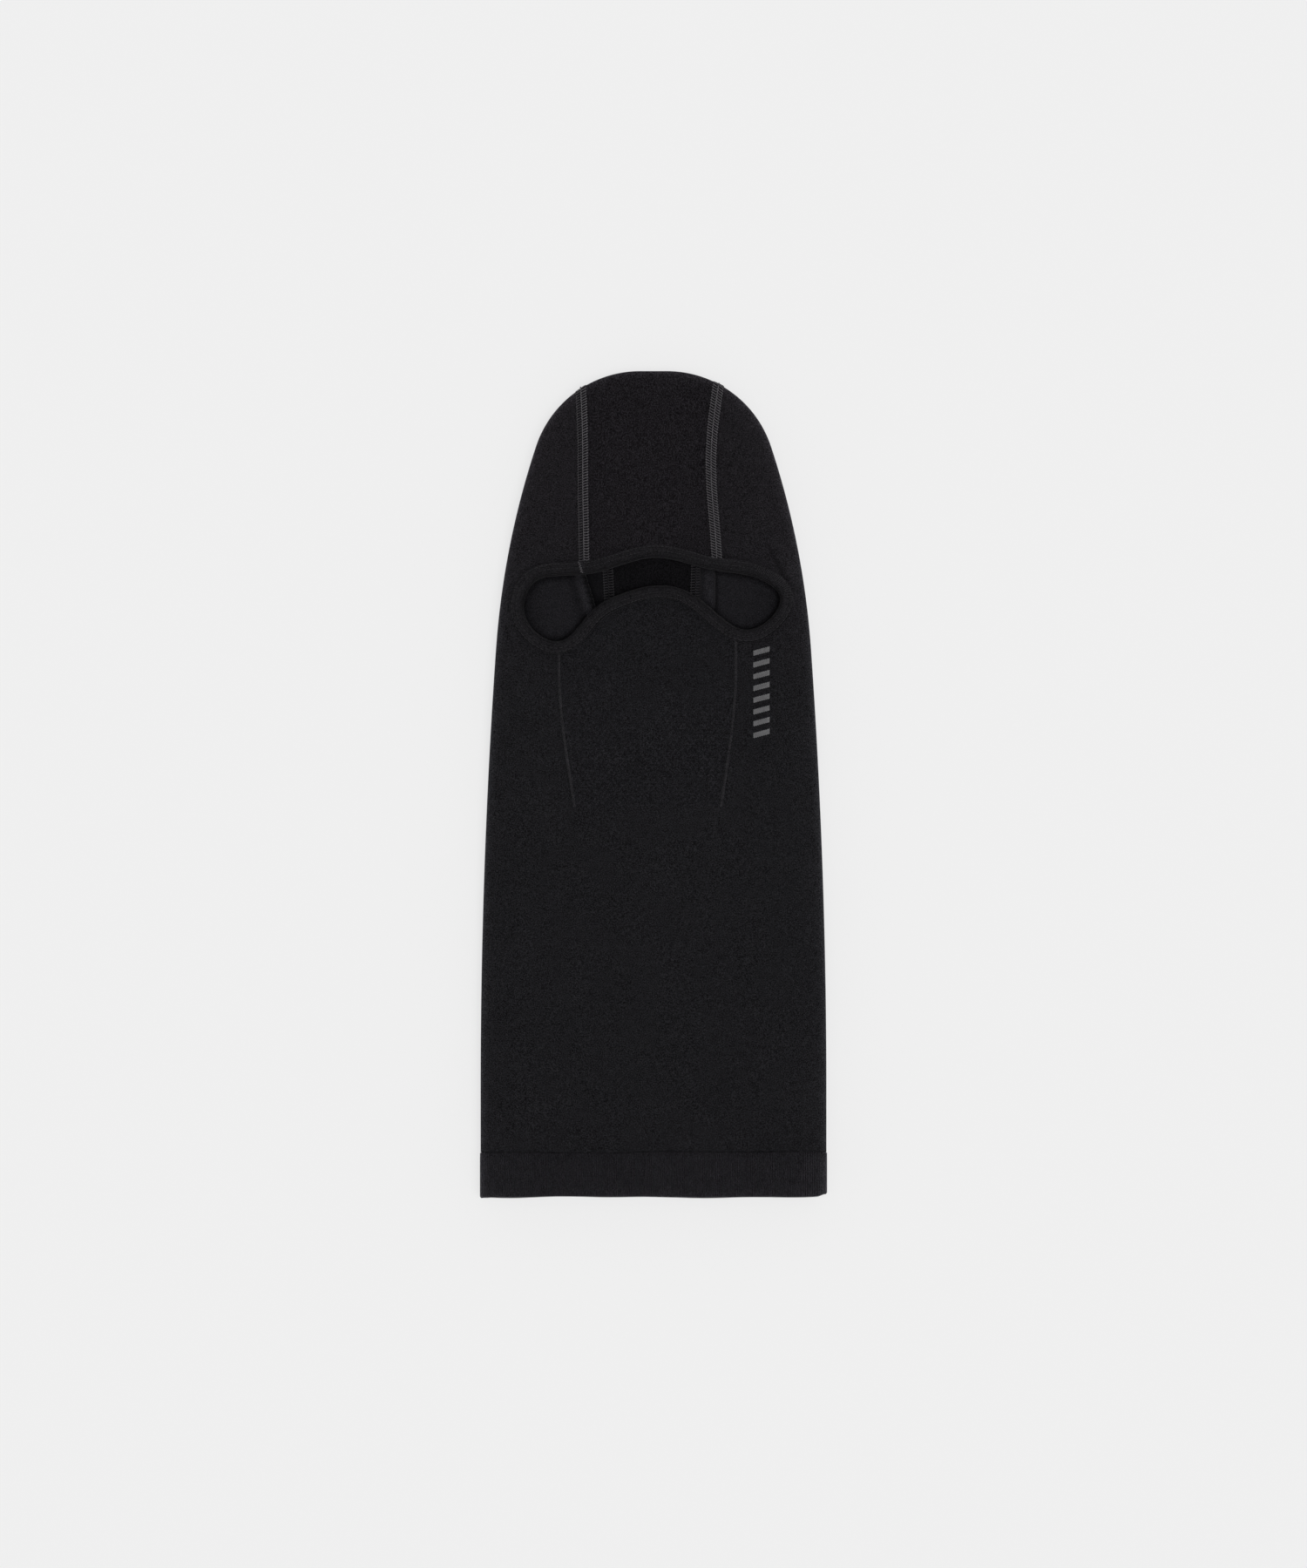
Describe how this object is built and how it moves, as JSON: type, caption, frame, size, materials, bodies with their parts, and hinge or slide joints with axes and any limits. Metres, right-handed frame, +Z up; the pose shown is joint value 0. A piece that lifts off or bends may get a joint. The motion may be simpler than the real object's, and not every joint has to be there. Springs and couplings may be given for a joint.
{
  "type": "balaclava",
  "caption": "Long-neck knitted ski balaclava lying flat, with a shaped face opening, mouth vent, crown gusset and ribbed hem.",
  "frame": {"origin": "middle of the flat plan, on the surface that the balaclava lies on", "axes": "+Y along the length, towards the crown; +X to the right as seen from above with the crown at the top, which is the wearer's left; +Z up, out of the face opening"},
  "size_m": [0.2068, 0.492, 0.0103],
  "materials": {
    "hood_knit": "fine matt double knit, warm charcoal black",
    "vent_knit": "matt knit with eyelets",
    "gusset_knit": "fine matt rib knit, darker than the sides",
    "hem_rib": "matt doubled rib",
    "binding_tape": "smooth elastic knit tape",
    "mark_yarn": "matt grey yarn",
    "seam_thread": "textured thread with a slight sheen"
  },
  "bodies": {
    "root": {"knit_tube": "hood_knit", "mouth_vent": "vent_knit", "vent_rib_left": "vent_knit", "vent_rib_right": "vent_knit", "crown_gusset": "gusset_knit", "hem_band": "hem_rib", "face_binding": "binding_tape", "knitted_mark": "mark_yarn", "seam_left_needle_threads": "seam_thread", "seam_right_needle_threads": "seam_thread", "seam_left_cover_threads": "seam_thread", "seam_right_cover_threads": "seam_thread", "seam_left_looper_threads": "seam_thread", "seam_right_looper_threads": "seam_thread", "binding_needle_threads": "seam_thread", "binding_looper_thread": "seam_thread", "binding_join_tack": "seam_thread", "nape_tack": "seam_thread", "hem_linking_chain": "seam_thread"}
  },
  "joints": []
}
